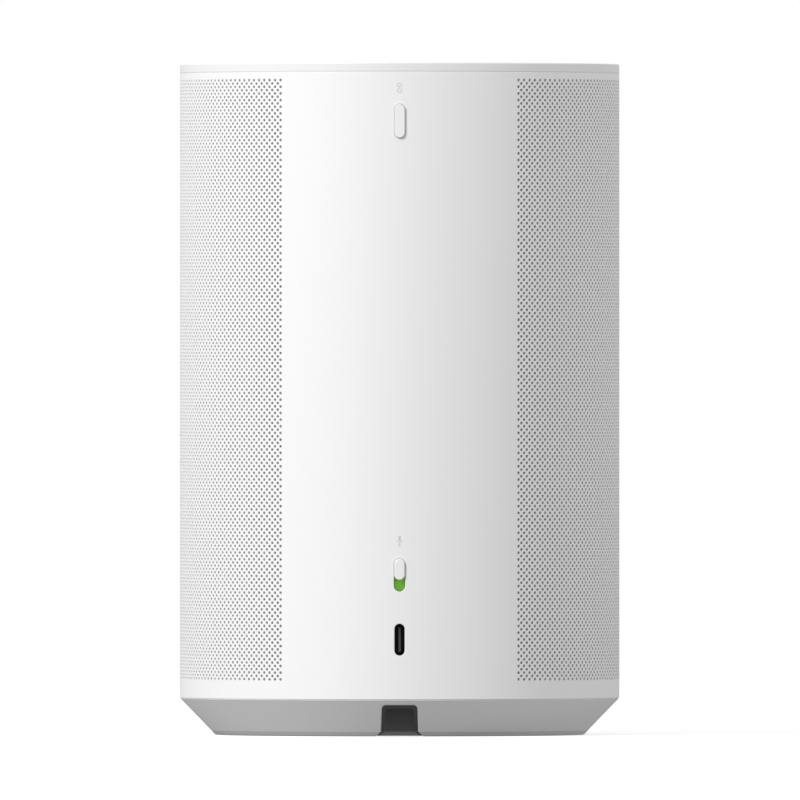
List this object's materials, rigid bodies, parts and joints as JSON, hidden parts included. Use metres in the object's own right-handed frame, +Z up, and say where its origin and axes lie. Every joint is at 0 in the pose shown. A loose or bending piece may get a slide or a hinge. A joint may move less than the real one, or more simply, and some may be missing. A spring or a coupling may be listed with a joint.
{
  "type": "smart speaker",
  "caption": "Upright racetrack-plan smart speaker with a wrap-round perforated grille, a touch top, a chamfered base and rear controls on a smooth strip.",
  "frame": {"origin": "on the surface it stands on, under the middle of the body", "axes": "+Z up, -Y towards the grille front that faces the listener, +Y towards the smooth strip with the controls, +X to the listener's right when facing the front"},
  "size_m": [0.1204, 0.1315, 0.1836],
  "materials": {
    "shell_white": "fine satin moulding",
    "touch_white": "smooth satin",
    "control_white": "satin",
    "scrim_dark": "open woven cloth",
    "foot_grey": "matt silicone",
    "liner_dark": "matt moulding",
    "inner_black": "fine grain",
    "flag_green": "bright printed plastic",
    "board_green": "solder mask",
    "chip_black": "moulded package",
    "steel": "plain",
    "screw_black": "blackened",
    "brass": "turned",
    "plated_pin": "plated",
    "copper_wound": "enamelled winding",
    "ferrite": "sintered",
    "heat_sink": "extruded",
    "cone_black": "pressed pulp",
    "surround_rubber": "soft",
    "spider_cloth": "stiffened cloth",
    "foam_grey": "open-cell foam",
    "dome_silk": "coated silk",
    "wire_red": "insulation",
    "ribbon_amber": "film",
    "light_pipe": "clear moulding"
  },
  "bodies": {
    "chassis": {"outer_sleeve": "shell_white", "acoustic_scrim": "scrim_dark", "top_cap": "touch_white", "base_skirt": "shell_white", "foot_pad": "foot_grey", "stand_insert": "brass", "inlet_cup": "liner_dark", "power_inlet": "inner_black", "inlet_pins": "plated_pin", "base_screws": "screw_black", "top_frame": "inner_black", "touch_board": "board_green", "mic_gaskets": "surround_rubber", "light_pipes": "light_pipe", "top_screws": "screw_black", "enclosure_body": "inner_black", "front_baffle": "inner_black", "baffle_seal": "foam_grey", "baffle_screws": "screw_black", "damping_foam": "foam_grey", "woofer_basket": "steel", "woofer_top_plate": "steel", "woofer_magnet": "ferrite", "woofer_yoke": "steel", "woofer_spider": "spider_cloth", "woofer_surround": "surround_rubber", "woofer_screws": "screw_black", "tweeter_waveguide": "inner_black", "waveguide_screws": "screw_black", "tweeter_faceplates": "inner_black", "tweeter_motors": "ferrite", "heat_sink": "heat_sink", "main_board": "board_green", "power_board": "board_green", "main_board_chips": "chip_black", "shield_can": "steel", "power_parts": "chip_black", "board_screws": "screw_black", "wifi_antennas": "board_green", "rear_io_board": "board_green", "button_board": "board_green", "rear_board_screws": "screw_black", "usb_socket": "inner_black", "usb_tongue": "foot_grey", "button_switch": "chip_black", "slide_switch": "chip_black", "touch_ribbon": "ribbon_amber", "inlet_wires": "wire_red", "woofer_wires": "wire_red"},
    "button": {"pairing_button": "control_white"},
    "mic_switch": {"switch_knob": "control_white", "switch_carrier": "inner_black", "switch_flag": "flag_green", "switch_slider": "inner_black"},
    "woofer_moving": {"woofer_former": "heat_sink", "woofer_voice_coil": "copper_wound", "woofer_cone": "cone_black", "woofer_dust_cap": "cone_black"},
    "dome_left": {"tweeter_dome_left": "dome_silk"},
    "dome_right": {"tweeter_dome_right": "dome_silk"}
  },
  "joints": [
    {"name": "pairing_press", "type": "slide", "parent": "chassis", "child": "button", "axis": [0, -1, 0], "range_m": [0, 0.0005], "stiffness_N_per_m": 800},
    {"name": "mic_slide", "type": "slide", "parent": "chassis", "child": "mic_switch", "axis": [0, 0, -1], "range_m": [0, 0.0031]},
    {"name": "woofer_travel", "type": "slide", "parent": "chassis", "child": "woofer_moving", "axis": [0, -1, 0], "range_m": [-0.003, 0.003], "stiffness_N_per_m": 1400, "deforming": ["woofer_surround", "woofer_spider"]},
    {"name": "dome_left_travel", "type": "slide", "parent": "chassis", "child": "dome_left", "axis": [-0.6428, -0.766, 0], "range_m": [-0.0003, 0.0003], "stiffness_N_per_m": 2500},
    {"name": "dome_right_travel", "type": "slide", "parent": "chassis", "child": "dome_right", "axis": [0.6428, -0.766, 0], "range_m": [-0.0003, 0.0003], "stiffness_N_per_m": 2500}
  ]
}
